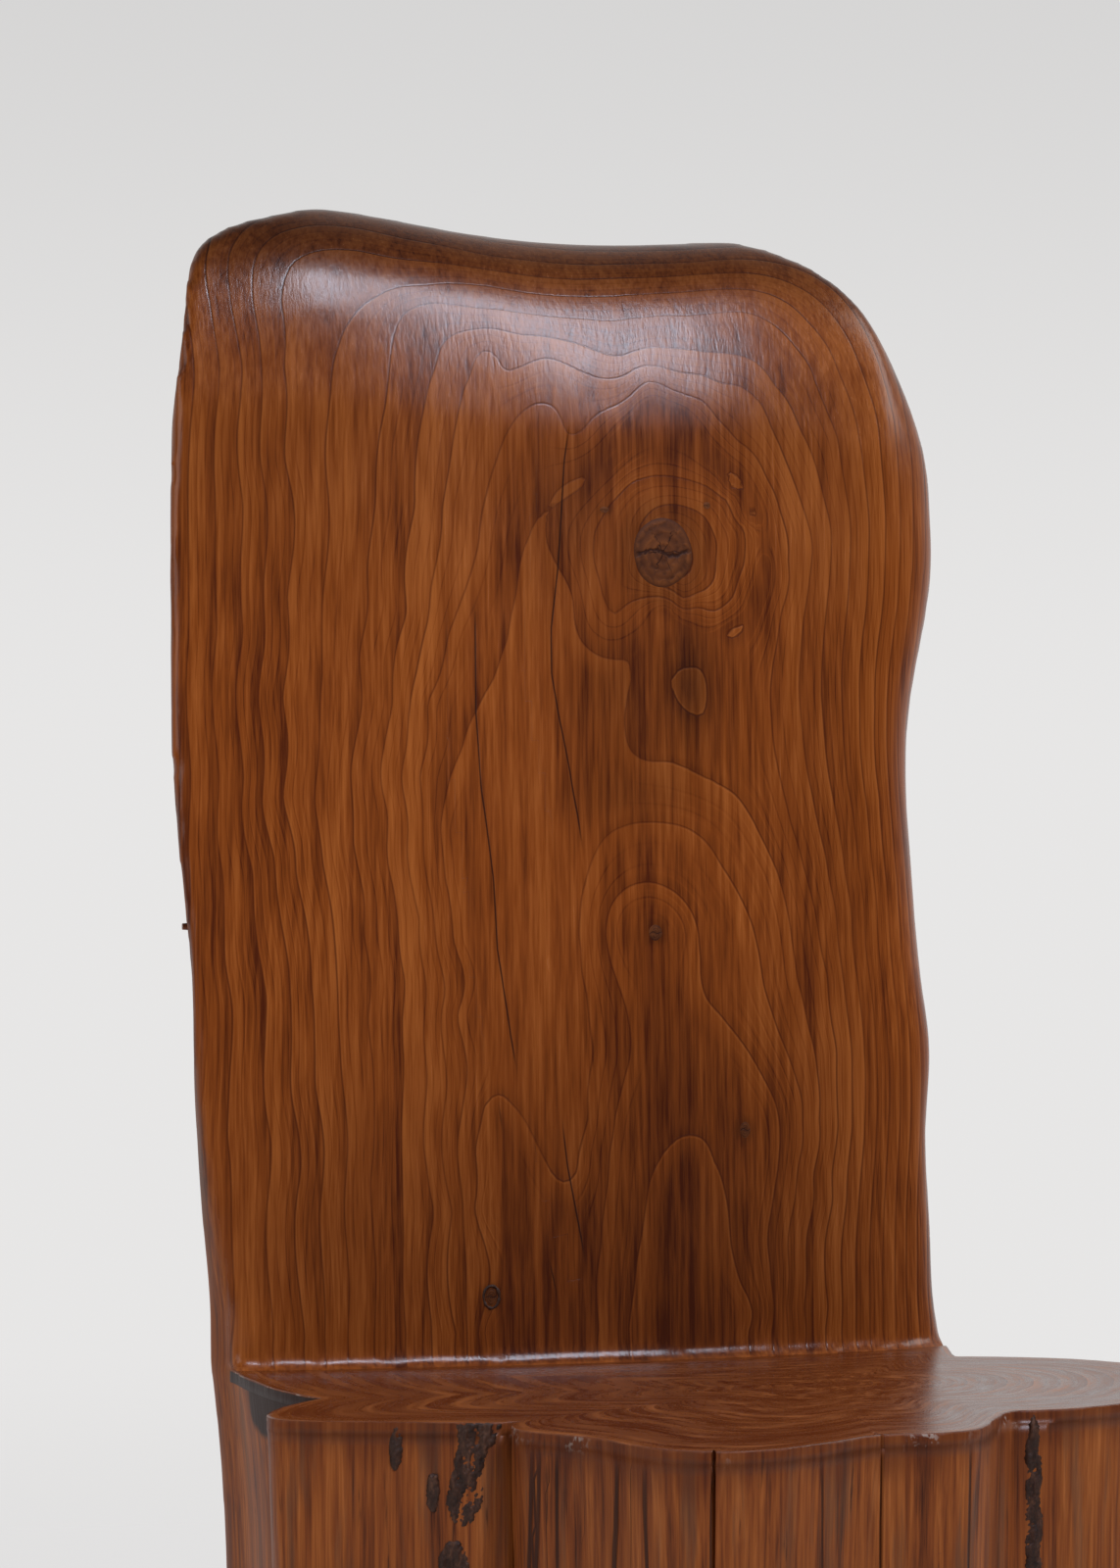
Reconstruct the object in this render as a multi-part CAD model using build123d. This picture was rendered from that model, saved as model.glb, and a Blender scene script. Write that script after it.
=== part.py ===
from build123d import *

import math
import os

# High-backed log chair carved from one fluted tree trunk.
#
# The trunk is two stems that grew together. The rear stem runs from the floor to the top
# of the tall back. The front stem is the block that is sawn off level to make the seat.
# Bark trapped between the stems still lies in the two side notches, and branch knots sit
# in the wood of the back as tapered plugs.
#
# Frame: millimetres, +Z up, origin on the floor under the block, the sitter faces -Y.

# ---------------------------------------------------------------- seat block
SEAT_HEIGHT = 420.0

# Outline at seat level, anticlockwise from the left notch to the right notch.
# Each list is one lobe, and neighbouring lobes meet in a sharp crease.
LEFT_NOTCH = (-231.0, -32.0)
LEFT_CREASE = (-138.0, -157.0)
RIGHT_CREASE = (166.0, -186.0)
RIGHT_NOTCH = (213.0, 62.0)
LEFT_LOBE = [(-254, -54), (-273, -84), (-277, -108), (-258, -124), (-214, -139), (-172, -153)]
MIDDLE_LOBE = [(-141, -196), (-112, -228), (-84, -282), (-50, -301), (-12, -296), (28, -276),
               (57, -261), (86, -262), (112, -256), (138, -222)]
RIGHT_LOBE = [(205, -185), (248, -168), (292, -126), (318, -68), (320, -20), (304, 12), (262, 44)]

# The outline swells and narrows with height about its middle: height, scale.
BLOCK_MIDDLE = (20.0, -40.0)
BLOCK_LEVELS = [(0.0, 1.012), (140.0, 0.984), (280.0, 0.982), (SEAT_HEIGHT, 1.0)]
BLOCK_OVERLAP = [(190.0, 84.0), (-190.0, 30.0)]  # behind the seam, cut away by the rear stem

# ---------------------------------------------------------------- rear stem
# The line where the stems grew together, seen from above, left to right.
SEAM = [(-160, -26), (-60, -2), (50, 28), (140, 52)]

# Below the seat: height, left edge x, right edge x, left edge y, right edge y, rear y.
LOWER_LEVELS = [
    (0.0, -274, 215, 142, 140, 268),
    (140.0, -263, 217, 142, 139, 262),
    (300.0, -261, 221, 142, 138, 258),
    (SEAT_HEIGHT, -271, 227, 142, 138, 256),
]
LEFT_FLANK = [(-243, -8), (-256, 42), (-261, 84), (-264, 114)]

# Above the seat: height above the seat, left side x, right edge x, and how far inside the
# left side the face ends. Higher up the face overhangs the side, so that is negative.
BACK_LEVELS = [
    (0, -271, 227, 12),
    (12, -271, 225, 12),
    (25, -271, 223, 11),
    (60, -273, 221, 8),
    (120, -278, 219, 4),
    (190, -281, 223, 0),
    (240, -280, 219, -2),
    (290, -282, 215, -3),
    (385, -289, 210, -4),
    (465, -290, 220, -4),
    (503, -290, 228, -4),
    (543, -290, 231, -4),
    (600, -289, 227, -4),
    (650, -284, 210, -4),
    (695, -281, 185, -3),
    (722, -278, 157, 0),
    (745, -256, 106, 10),
    (768, -190, 20, 20),
]
FACE_Y = 93.0             # middle of the sitting face at seat level
FACE_RECLINE = 0.040      # how far the face leans back, per mm of height
FACE_BOW = 17.0           # how far the face falls back at a reach of FACE_REACH
FACE_REACH = 235.0
FACE_MIDDLE_X = -30.0
LEFT_DEPTH = 34.0         # the left edge is this far behind the face
ARRIS_TURN = (2.0, 0.15)      # turn of the surface at the left arris, at the seat and higher up
RIGHT_ROUND = (54.0, 42.0)    # width and depth of the broad round-over on the right
REAR_Y = 256.0            # deepest point of the rear at seat level
REAR_LEAN = -0.018        # the trunk tapers, so its rear comes forward with height
# Fluted rear surface: share of the width from the left, share of the depth.
REAR_SHAPE = [(0.035, 0.32), (0.12, 0.62), (0.23, 0.86), (0.34, 0.88), (0.47, 1.00),
              (0.59, 0.98), (0.70, 0.84), (0.83, 0.83), (0.95, 0.48)]

# Crest of the back: x, height above the seat.
CREST = [(-330, 740), (-270, 756), (-205, 762), (-160, 758), (-105, 749), (-50, 743),
         (5, 742), (60, 745), (105, 747), (145, 742), (185, 724), (260, 664)]
ROLL_HEIGHT = 180.0       # the face starts to roll over this far below the crest
CREST_REACH = 66.0        # the crest lies this far behind the face
ROLL_TAIL = 84.0          # the roll reaches the rear surface this far below the crest

# Hollow fillet where the back rises out of the seat: x, radius.
COVE = [(-300, 7), (-180, 8), (-30, 11), (120, 16), (180, 16), (210, 11), (232, 5),
        (260, 3)]
COVE_KEEP = 30.0          # how far the cove strip reaches into the back
COVE_ROOT = 8.0           # and how far it reaches into the stem below the seat

# ---------------------------------------------------------------- knots
# Centre x, height above the seat, half width, half height at the face, growth to the rear.
UPPER_KNOT = (27.0, 531.0, 21.0, 24.0, 1.45)
CENTRE_KNOT = (19.0, 280.0, 5.0, 6.0, 1.5)
RIGHT_KNOT = (80.0, 149.0, 4.0, 6.0, 1.6)
LOOSE_KNOT = (-94.0, 44.0, 4.2, 6.2, 1.6)
PIN_KNOTS = [(-13.0, 559.0, 3.4, 2.4, 1.6), (58.0, 563.0, 2.6, 2.6, 1.6)]
KNOT_REACH = 160.0        # the growth is reached this far behind the face
KNOT_LEAD = 10.0          # plugs start this far in front of the face, to be cut flush
THROUGH_LENGTH = 300.0    # and a knot that runs right through the back ends this far behind
SMALL_KNOT_DEPTH = 45.0   # small knots end this far behind the face
BARK_SLEEVE = 1.5         # bark round the loose knot
EDGE_KNOT = (-288.5, 285.0, 3.0)   # broken twig on the left edge: tip x, height, radius
EDGE_KNOT_LENGTH = 26.0
EDGE_KNOT_Y = 150.0

# ---------------------------------------------------------------- bark and checks
# Old bark left in the block's front: x and height above the seat round its edge.
BARK_POCKET = [(-173, -1), (-174, -26), (-177, -48), (-170, -61), (-161, -55), (-158, -28),
               (-151, -10), (-147, -1)]
# x, height above the seat, half width, half height.
BARK_FLECKS = [(-207, -16, 3, 13), (-186, -42, 3, 11), (-174, -86, 8, 15)]
GROOVE_BARK = (176, -62, 5, 60)
BARK_THICKNESS = 6.0
BARK_PLANE_Y = -360.0     # bark outlines are drawn on this plane in front of the block
BARK_CUT = 400.0          # and run this far into it
# Bark trapped in the side notches: a wedge seen from above, cut back by both stems.
LEFT_NOTCH_BARK = [(-205, -32), (-238, 8), (-258, -66)]
RIGHT_NOTCH_BARK = [(200, 50), (246, 38), (206, 94)]
NOTCH_BARK_DROP = 9.0     # the bark has shrunk this far below the seat

# Drying checks down the block's front: mouth x, mouth y, bearing into the wood, depth.
CHECKS = [(*LEFT_CREASE, 60.0, 30.0), (-57.0, -301.0, 82.0, 26.0), (56.0, -261.0, 92.0, 22.0)]
CHECK_WIDTH = 2.6
CHECK_LEAD = 6.0          # the cutting wedge starts this far outside the mouth


def mix(a, b, share):
    return a + (b - a) * share


def lift(points, z):
    return [Vector(x, y, z) for x, y in points]


def curve(points, start, end):
    """Spline at an even pace through the points, with given end directions."""
    pace = [0.0]
    for a, b in zip(points, points[1:]):
        pace.append(pace[-1] + (b - a).length)
    directions = [Vector(*start).normalized(), Vector(*end).normalized()]
    return Edge.make_spline(points, tangents=directions, parameters=pace, scale=False)


def chain(points):
    return [Edge.make_line(a, b) for a, b in zip(points, points[1:])]


def face_y(x, above):
    """Depth of the sitting face: it leans back and bows forward in the middle."""
    bow = FACE_BOW * ((x - FACE_MIDDLE_X) / FACE_REACH) ** 2
    return FACE_Y + FACE_RECLINE * above + bow


def rear_edge(left, right, rear_y, z):
    """The fluted rear of a section, from its left edge round to its right edge."""
    points = [left]
    for across, depth in REAR_SHAPE:
        side_y = mix(left[1], right[1], across)
        points.append((mix(left[0], right[0], across), mix(side_y, rear_y, depth)))
    points.append(right)
    return curve(lift(points, z), (0.1, 1, 0), (0.1, -1, 0))


def lower_section(z, left_x, right_x, left_y, right_y, rear_y):
    """Rear stem below the seat: rear, right flank, seam and left flank."""
    left, right = (left_x, left_y), (right_x, right_y)
    shift = left_x - LOWER_LEVELS[-1][1]
    flank = [(x + shift, y) for x, y in reversed(LEFT_FLANK)]
    seam = [RIGHT_NOTCH, *reversed(SEAM), LEFT_NOTCH]
    return Wire([
        rear_edge(left, right, rear_y, z),
        curve(lift([right, RIGHT_NOTCH], z), (0.05, -1, 0), (-0.1, -1, 0)),
        curve(lift(seam, z), (-1, -0.1, 0), (-1, 0, 0)),
        curve(lift([left, *flank, LEFT_NOTCH], z)[::-1], (-0.5, 1, 0), (0, 1, 0)),
    ])


def back_section(above, left_x, right_x, arris):
    """Back above the seat: rear, right round-over, sitting face and left arris."""
    z = SEAT_HEIGHT + above
    x0, x1 = left_x + arris, right_x - RIGHT_ROUND[0]
    face_left, face_right = (x0, face_y(x0, above)), (x1, face_y(x1, above))
    settle = min(1.0, above / 300.0)
    turn = mix(*ARRIS_TURN, settle)
    lower = LOWER_LEVELS[-1]
    left = (left_x, mix(lower[3], face_left[1] + LEFT_DEPTH, settle))
    right = (right_x, mix(lower[4], face_right[1] + RIGHT_ROUND[1], settle))
    inner = [mix(x1, x0, share) for share in (0.25, 0.5, 0.75)]
    face = [face_right, *[(x, face_y(x, above)) for x in inner], face_left]
    slope_left = 2 * FACE_BOW * (FACE_MIDDLE_X - x0) / FACE_REACH**2
    slope_right = 2 * FACE_BOW * (x1 - FACE_MIDDLE_X) / FACE_REACH**2
    return Wire([
        rear_edge(left, right, REAR_Y + REAR_LEAN * above, z),
        curve(lift([right, face_right], z), (0, -1, 0), (-1, -slope_right, 0)),
        curve(lift(face, z), (-1, -slope_right, 0), (-1, slope_left, 0)),
        curve(lift([face_left, left], z), (-1, slope_left + turn, 0), (-0.12, 1, 0)),
    ])


def roll_profile(x, crest):
    """Side view of the wood carved away above the crest and down its front and rear."""
    z = SEAT_HEIGHT + crest
    face = face_y(max(-290.0, min(x, 200.0)), crest - ROLL_HEIGHT)
    rear = REAR_Y + REAR_LEAN * crest
    ridge = face + CREST_REACH
    outer = [
        Vector(x, face - 3, z - ROLL_HEIGHT),
        Vector(x, face + 3, z - ROLL_HEIGHT * 0.68),
        Vector(x, mix(face, ridge, 0.20), z - ROLL_HEIGHT * 0.38),
        Vector(x, mix(face, ridge, 0.52), z - ROLL_HEIGHT * 0.125),
        Vector(x, ridge, z),
        Vector(x, mix(ridge, rear, 0.66), z - 20),
        Vector(x, rear + 10, z - ROLL_TAIL),
    ]
    top, clear = SEAT_HEIGHT + 900.0, 150.0
    corners = [
        outer[-1],
        Vector(x, rear + clear, z - ROLL_TAIL),
        Vector(x, rear + clear, top),
        Vector(x, face - clear, top),
        Vector(x, face - clear, z - ROLL_HEIGHT),
        outer[0],
    ]
    return Wire([Edge.make_spline(outer), *chain(corners)])


def cove_profile(x, radius):
    """Side view of the hollow fillet between the seat and the sitting face."""
    face, low = face_y(x, 0), SEAT_HEIGHT - COVE_ROOT
    foot = Vector(x, face - radius, SEAT_HEIGHT)
    head = Vector(x, face + 1.0, SEAT_HEIGHT + radius)
    arc = Edge.make_tangent_arc(foot, Vector(0, 1, 0), head)
    back = face + COVE_KEEP
    corners = [head, Vector(x, back, head.Z), Vector(x, back, low), Vector(x, foot.Y, low), foot]
    return Wire([arc, *chain(corners)])


def make_rear_stem():
    """Rear stem as one body: root and flank, carved back, and cove."""
    root = Solid.make_loft([lower_section(*level) for level in LOWER_LEVELS])
    back = Solid.make_loft([back_section(*level) for level in BACK_LEVELS])
    roll = Solid.make_loft([roll_profile(*station) for station in CREST])
    cove = Solid.make_loft([cove_profile(*station) for station in COVE])
    trunk = Face(lower_section(*LOWER_LEVELS[-1]))
    trunk = Solid.extrude(trunk, Vector(0, 0, 60)).moved(Location((0, 0, -10)))
    return root + (back - roll) + (cove & trunk)


def block_section(z, scale):
    """Front stem outline at height z. Its rear runs on behind the seam."""
    mx, my = BLOCK_MIDDLE

    def place(points):
        return lift([(mx + (x - mx) * scale, my + (y - my) * scale) for x, y in points], z)

    corners = lift([LEFT_NOTCH, LEFT_CREASE, RIGHT_CREASE, RIGHT_NOTCH], z)
    lobes = [place(lobe) for lobe in (LEFT_LOBE, MIDDLE_LOBE, RIGHT_LOBE)]
    edges = [Edge.make_spline([a, *lobe, b]) for a, lobe, b in zip(corners, lobes, corners[1:])]
    return Wire([*edges, *chain([corners[-1], *lift(BLOCK_OVERLAP, z), corners[0]])])


def check_wedge(x, y, bearing, depth):
    """Full-height wedge that opens a drying check from its mouth into the wood."""
    inward = Vector(math.cos(math.radians(bearing)), math.sin(math.radians(bearing)), 0)
    side = Vector(-inward.Y, inward.X, 0) * (CHECK_WIDTH / 2)
    mouth = Vector(x, y, -1) - inward * CHECK_LEAD
    tip = Vector(x, y, -1) + inward * depth
    outline = Wire(chain([mouth + side, mouth - side, tip, mouth + side]))
    return Solid.extrude(Face(outline), Vector(0, 0, SEAT_HEIGHT + 2))


def knot_plug(x, above, half_width, half_height, growth, extra=0.0, depth=None):
    """Tapered branch plug that starts in front of the face and widens to the rear."""
    z = SEAT_HEIGHT + above
    front = face_y(x, above) - KNOT_LEAD
    rear = front + THROUGH_LENGTH if depth is None else face_y(x, above) + depth
    rings = []
    for y in (front, rear):
        size = mix(1.0, growth, (y - front) / KNOT_REACH)
        plane = Plane(origin=(x, y, z), x_dir=(1, 0, 0), z_dir=(0, 1, 0))
        a, b = half_width * size + extra, half_height * size + extra
        rings.append(Wire(Edge.make_ellipse(a, b, plane) if a >= b else tall_ellipse(a, b, plane)))
    return Solid.make_loft(rings, ruled=True)


def tall_ellipse(a, b, plane):
    """Ellipse whose long half-axis b stands upright."""
    return Edge.make_ellipse(b, a, Plane(plane.origin, x_dir=plane.y_dir, z_dir=plane.z_dir))


def bark_inlay(block, outline):
    """Shallow piece of bark let into the block's front within a flat outline."""
    patch = Solid.extrude(Face(outline), Vector(0, BARK_CUT, 0)) & block
    return patch - block.moved(Location((0, BARK_THICKNESS, 0)))


def fleck_outline(x, above, half_width, half_height):
    plane = Plane(origin=(x, BARK_PLANE_Y, SEAT_HEIGHT + above), x_dir=(0, 0, 1), z_dir=(0, 1, 0))
    return Wire(Edge.make_ellipse(half_height, half_width, plane))


def pocket_outline():
    rim = [Vector(x, BARK_PLANE_Y, SEAT_HEIGHT + above) for x, above in BARK_POCKET]
    return Wire([Edge.make_spline(rim), Edge.make_line(rim[-1], rim[0])])


def notch_bark(wedge, rear, block):
    """Bark trapped in a side notch, between the two stems."""
    corners = lift([*wedge, wedge[0]], 0)
    column = Solid.extrude(Face(Wire(chain(corners))), Vector(0, 0, SEAT_HEIGHT - NOTCH_BARK_DROP))
    return column - rear - block


def main():
    rear = make_rear_stem()
    block = Solid.make_loft([block_section(*level) for level in BLOCK_LEVELS]) - rear
    for check in CHECKS:
        block -= check_wedge(*check)
    parts = {
        "notch_bark_left": notch_bark(LEFT_NOTCH_BARK, rear, block),
        "notch_bark_right": notch_bark(RIGHT_NOTCH_BARK, rear, block),
        "bark_pocket": bark_inlay(block, pocket_outline()),
        "groove_bark": bark_inlay(block, fleck_outline(*GROOVE_BARK)),
    }
    flecks = [bark_inlay(block, fleck_outline(*fleck)) for fleck in BARK_FLECKS]
    parts["bark_flecks"] = Compound(children=flecks)
    for bark in (parts["bark_pocket"], parts["groove_bark"], *flecks):
        block -= bark

    plugs = {
        "upper_knot": knot_plug(*UPPER_KNOT),
        "centre_knot": knot_plug(*CENTRE_KNOT, depth=SMALL_KNOT_DEPTH),
        "right_knot": knot_plug(*RIGHT_KNOT, depth=SMALL_KNOT_DEPTH),
        "loose_knot": knot_plug(*LOOSE_KNOT, depth=SMALL_KNOT_DEPTH),
    }
    for name, plug in plugs.items():
        parts[name] = plug & rear
    sleeve = knot_plug(*LOOSE_KNOT, extra=BARK_SLEEVE, depth=SMALL_KNOT_DEPTH) & rear
    parts["loose_knot_bark"] = sleeve - plugs["loose_knot"]
    pins = [knot_plug(*pin, depth=SMALL_KNOT_DEPTH) & rear for pin in PIN_KNOTS]
    parts["pin_knots"] = Compound(children=pins)
    x, above, radius = EDGE_KNOT
    plane = Plane((x, EDGE_KNOT_Y, SEAT_HEIGHT + above), x_dir=(0, 1, 0), z_dir=(1, 0, 0))
    parts["edge_knot"] = Solid.make_cone(radius * 0.7, radius * 1.3, EDGE_KNOT_LENGTH, plane)
    for name in ("upper_knot", "centre_knot", "right_knot", "edge_knot"):
        rear -= parts[name]
    for plug in (sleeve, *pins):
        rear -= plug
    parts["rear_stem"] = rear
    parts["seat_block"] = block

    os.makedirs("parts", exist_ok=True)
    for name, shape in parts.items():
        solids = shape.solids()
        print(name, len(solids), [round(s.volume) for s in solids], shape.is_valid)
        export_step(shape, f"parts/{name}.step")


main()
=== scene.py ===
import math

import bmesh
import bpy
import numpy as np
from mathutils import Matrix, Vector
from mathutils.bvhtree import BVHTree
from mathutils.kdtree import KDTree


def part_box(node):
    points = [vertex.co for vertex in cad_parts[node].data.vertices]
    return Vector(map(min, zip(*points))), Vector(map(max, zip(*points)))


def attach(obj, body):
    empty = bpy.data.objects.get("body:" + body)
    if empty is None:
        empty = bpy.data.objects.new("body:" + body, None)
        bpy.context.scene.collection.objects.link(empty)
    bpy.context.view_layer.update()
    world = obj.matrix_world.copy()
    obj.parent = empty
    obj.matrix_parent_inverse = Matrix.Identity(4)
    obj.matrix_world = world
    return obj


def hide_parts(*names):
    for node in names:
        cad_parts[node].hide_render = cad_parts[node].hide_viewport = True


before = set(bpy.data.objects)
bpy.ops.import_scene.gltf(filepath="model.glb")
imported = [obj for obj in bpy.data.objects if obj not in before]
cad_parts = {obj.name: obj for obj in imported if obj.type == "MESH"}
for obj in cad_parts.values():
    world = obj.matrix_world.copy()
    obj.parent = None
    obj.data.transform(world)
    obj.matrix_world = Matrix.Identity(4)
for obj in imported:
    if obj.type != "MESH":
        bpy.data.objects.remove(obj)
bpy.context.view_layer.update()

# Looks of a high-backed chair carved from one fluted tree trunk. Lengths are in metres unless
# a name ends in _MM. The back is one smooth sculpted mesh over the rear stem, and the seat is
# one sawn block. Growth rings of the sitting face are level lines of a smooth height map.

MM = 0.001
SEAT_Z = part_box("seat_block")[1].z

# ---------------------------------------------------------------- camera and light
VIEW_AZIMUTH = math.radians(-14.0)
VIEW_AIM = (-0.047, 0.100)
VIEW_DISTANCE = 2.876
VIEW_HEIGHT = 0.798
LENS_MM = 100.87
SENSOR_MM = 36.0
LIGHT_AIM = (-0.02, 0.15, 0.95)
COOL = (0.96, 1.04, 1.24)
WHITE = (1.0, 1.0, 1.0)
# Name, azimuth and elevation in degrees, distance, size, power in watts, tint.
LIGHTS = [("key_left", -2.0, 46.0, 3.2, (0.36, 0.75), 27.0, COOL),
          ("key_right", 18.0, 38.0, 3.2, (0.42, 1.50), 50.0, COOL),
          ("right_side", 80.0, 30.0, 2.6, (1.0, 1.2), 16.0, WHITE),
          ("left_side", -66.0, 13.0, 2.7, (1.6, 1.6), 14.0, WHITE)]
FLOOR_PAINT = (0.80, 0.79, 0.785, 1.0)
FLOOR_RADIUS = 4.0
FLOOR_FADE = (1.2, 3.6)   # solid up to here, and gone from here
SKY_TINT = (1.0, 0.99, 0.985, 1.0)

# ---------------------------------------------------------------- colours
MID = (0.235, 0.052, 0.0060)
LIGHT = (0.37, 0.100, 0.016)
DARK = (0.080, 0.013, 0.0018)
INK = (0.022, 0.005, 0.002)
GREYED = (0.110, 0.047, 0.023)
PALE = (0.42, 0.33, 0.28)
SKIN_TONES = [(0.18, (0.050, 0.010, 0.0025)), (0.42, (0.19, 0.044, 0.0075)),
              (0.58, (0.265, 0.070, 0.0120)), (0.85, (0.42, 0.130, 0.030))]
SAWN_TONES = [(0.15, DARK), (0.50, (0.150, 0.038, 0.0078)), (0.85, (0.30, 0.090, 0.020))]
BARK_TONES = [(0.32, (0.012, 0.005, 0.003)), (0.52, (0.045, 0.017, 0.009)),
              (0.68, (0.110, 0.044, 0.022))]

# ---------------------------------------------------------------- meshes
STEM_NODES = ("rear_stem", "upper_knot", "centre_knot", "right_knot", "loose_knot",
              "loose_knot_bark", "pin_knots")
BLOCK_NODES = ("seat_block", "bark_pocket", "bark_flecks", "groove_bark")
# Knots of the sitting face, and how far each is domed.
FACE_KNOTS = {"upper_knot": 0.9 * MM, "centre_knot": 0.5 * MM, "right_knot": 0.5 * MM,
              "loose_knot": 0.5 * MM, "pin_knots": 0.5 * MM}
KNOT_SINK = 0.3 * MM      # the rim of a knot's cap lies this deep in the face
# Bark nodes, then voxel, how far the crust stands out (below zero, sinks in), lump, wavelength.
CRUSTS = [(("bark_pocket", "bark_flecks", "groove_bark"), (1.0 * MM, 1.0 * MM, 0.65 * MM, 0.0065)),
          (("notch_bark_left", "notch_bark_right"), (2.4 * MM, -5.0 * MM, 1.0 * MM, 0.014))]
STEM_VOXEL = 0.0043
STEM_SMOOTHING = 60       # passes
SHARP_REACH = (0.003, 0.011)   # no smoothing this near a sharp edge, and all of it this far off
ARRIS_ANGLE = math.radians(28.0)
RIM_ANGLE = math.radians(50.0)
CORNER_ANGLE = math.radians(40.0)
BLOCK_AXIS = (0.020, -0.060)
BLOCK_COLUMNS = 620
BLOCK_ROWS = 62
CORNER_STEPS_MM = (-2.2, -1.4, -0.8, -0.3, 0.0, 0.3, 0.8, 1.4, 2.2)
LEAST_GAP = 0.15 * MM / 0.25   # angle between columns 0.15 mm apart, 250 mm from the axis
COVE_OVERLAP = 8 * MM     # the seat's top runs this far under the cove
FLANGE = 0.008
# Rows over the rim of the sawn top: drop below it, inset in mm, share of the chipping.
RIM_ROWS = [(FLANGE, 0.2, 0.0), (4 * MM, 0.05, 0.4), (1.6 * MM, 0.0, 0.8), (0.5 * MM, 0.15, 1.0),
            (0.0, 0.6, 1.0)]
TOP_SHARES = (0.985, 0.965, 0.94, 0.91, 0.875, 0.84, 0.80, 0.75, 0.70, 0.64, 0.58, 0.51, 0.44,
              0.36, 0.28, 0.20, 0.12, 0.05)
RING_PITH = (0.095, -0.045)
RING_COUNT = 26

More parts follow.
